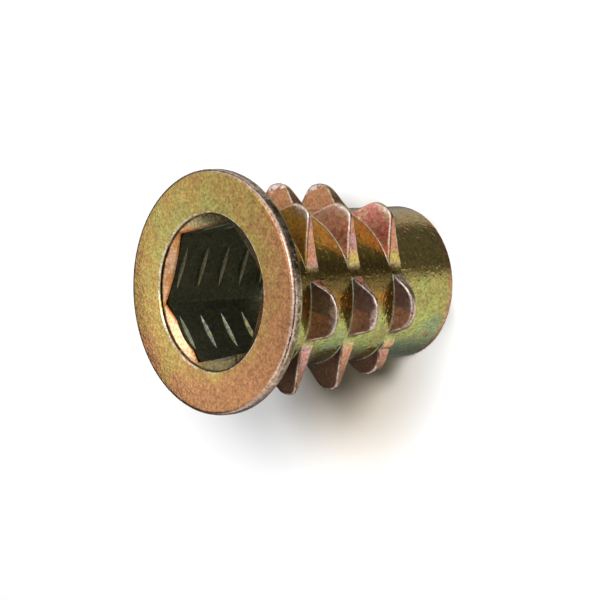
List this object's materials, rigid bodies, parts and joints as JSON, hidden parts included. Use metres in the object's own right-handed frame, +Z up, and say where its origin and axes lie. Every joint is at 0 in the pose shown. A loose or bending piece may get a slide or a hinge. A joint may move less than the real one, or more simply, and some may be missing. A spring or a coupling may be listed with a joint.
{
  "type": "threaded insert",
  "caption": "Flanged die-cast insert that screws into wood by coarse interrupted ridges, driven with a hexagon key, and gives the wood a machine thread for a screw.",
  "frame": {"origin": "centre of the tip end's face, where the insert enters the wood", "axes": "+Z up the insert's own axis to the flange face; the mould's parting plane is XZ and the ridges on it point along X"},
  "size_m": [0.0112, 0.0112, 0.012],
  "materials": {
    "chromated_zinc": "yellow chromate over die-cast zinc, thinly iridescent, fine cast grain"
  },
  "bodies": {
    "root": {"threaded_insert": "chromated_zinc"}
  },
  "joints": []
}
